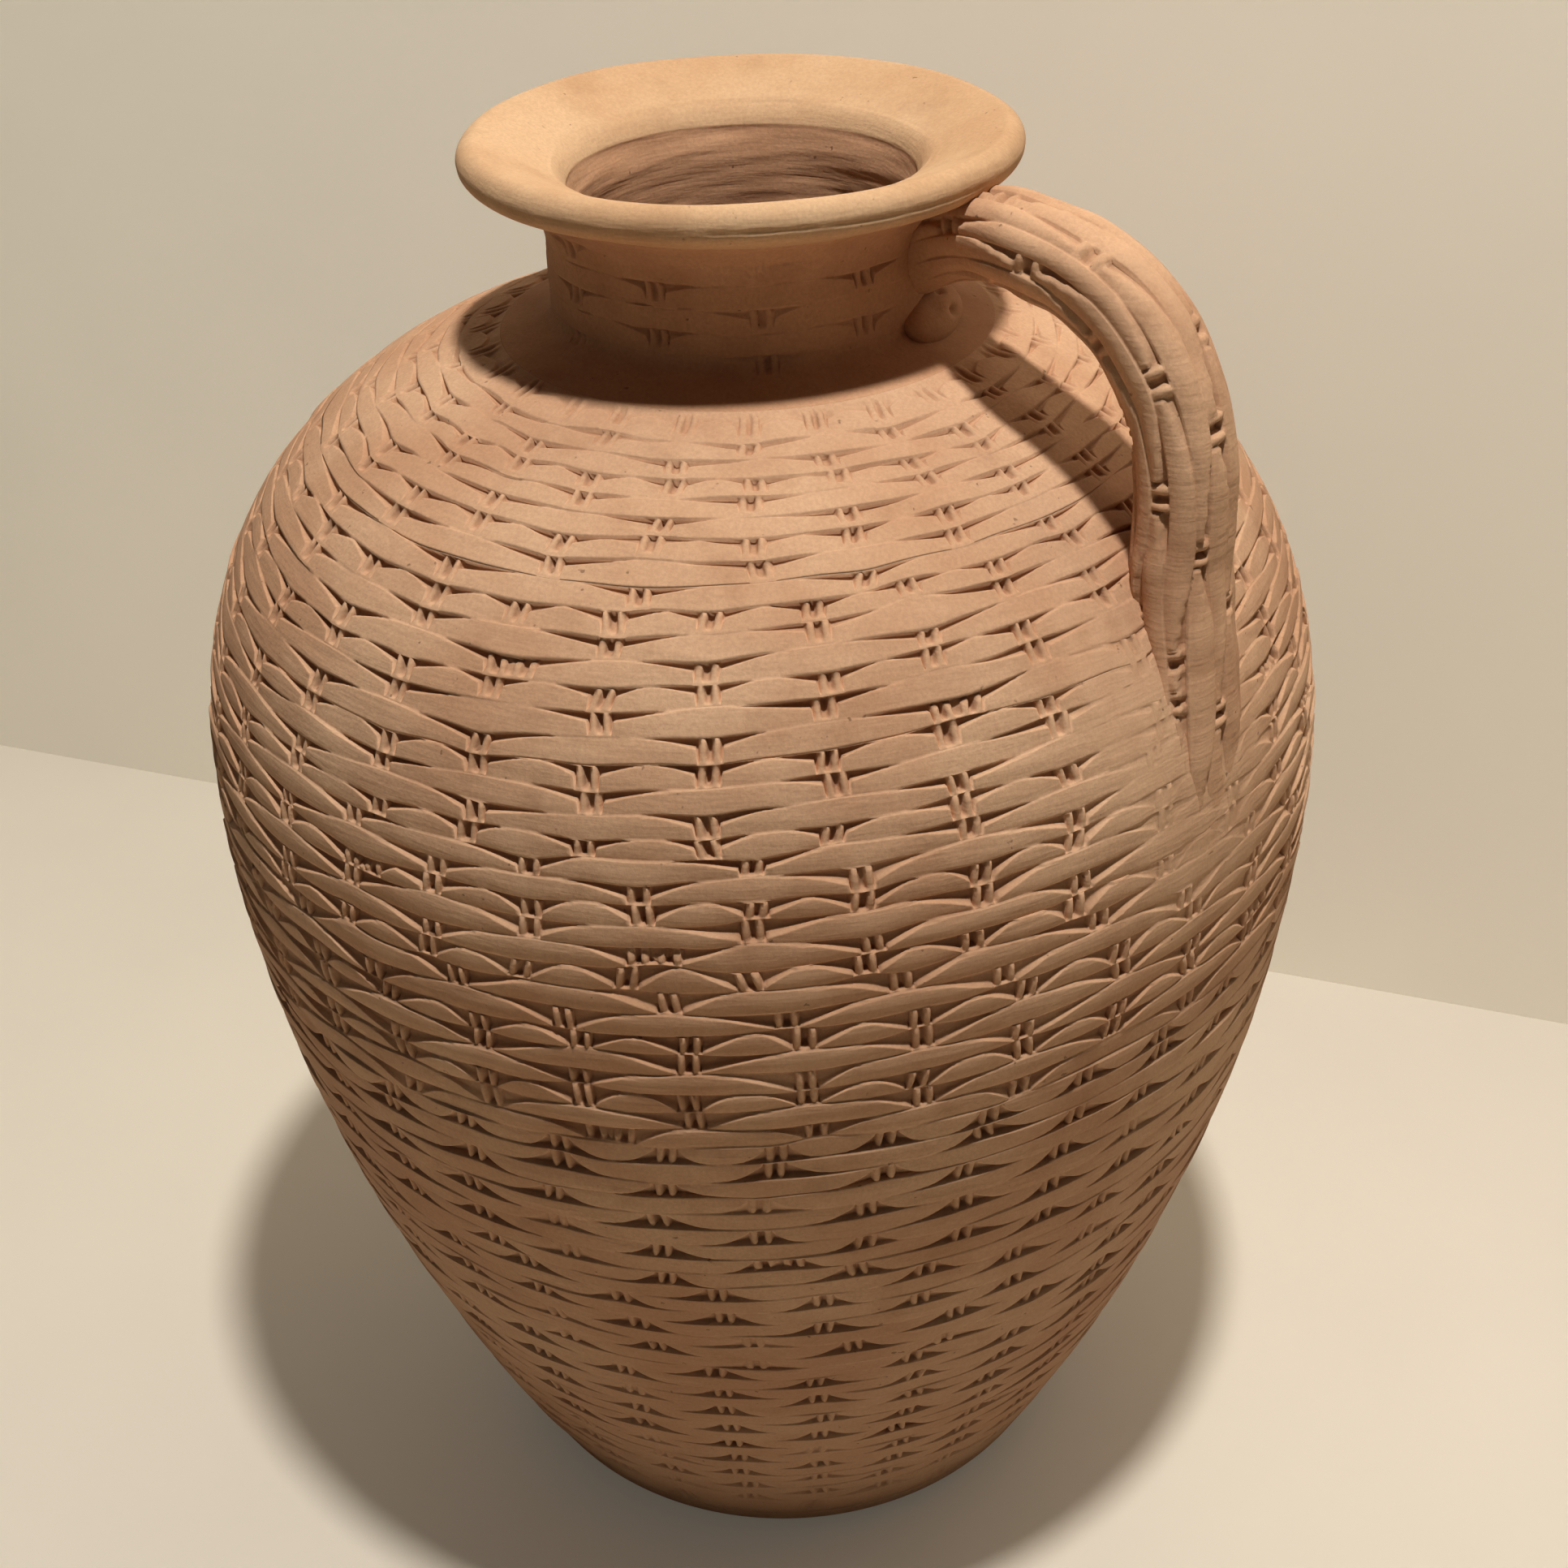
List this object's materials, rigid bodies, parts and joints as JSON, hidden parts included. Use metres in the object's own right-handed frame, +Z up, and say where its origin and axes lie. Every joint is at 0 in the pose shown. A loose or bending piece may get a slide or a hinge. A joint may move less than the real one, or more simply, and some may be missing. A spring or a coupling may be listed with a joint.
{
  "type": "ceramic jug",
  "caption": "Tall hand-built unglazed earthenware jug: wide belly, narrow foot, short neck, rolled flaring lip, pulled strap handle, skin stamped all over with a basketweave pattern.",
  "frame": {"origin": "centre of the flat underside of the foot, on the axis that the jug is turned about", "axes": "+Z up along the axis of the jug; +X from the axis towards the handle; +Y completes the right-handed frame"},
  "size_m": [0.3479, 0.3476, 0.4664],
  "materials": {
    "foot_clay": "unglazed, dull",
    "wall_clay": "unglazed, dull",
    "lip_clay": "unglazed, dull",
    "handle_clay": "unglazed, dull"
  },
  "bodies": {
    "root": {"floor_slab": "foot_clay", "foot_wall": "wall_clay", "lower_wall": "wall_clay", "belly_wall": "wall_clay", "upper_belly_wall": "wall_clay", "shoulder_wall": "wall_clay", "upper_shoulder_wall": "wall_clay", "crown_wall": "wall_clay", "neck_collar": "wall_clay", "lip_coil": "lip_clay", "handle_root": "handle_clay", "handle_strap": "handle_clay", "tail_patch": "handle_clay", "thumb_pad": "handle_clay"}
  },
  "joints": []
}
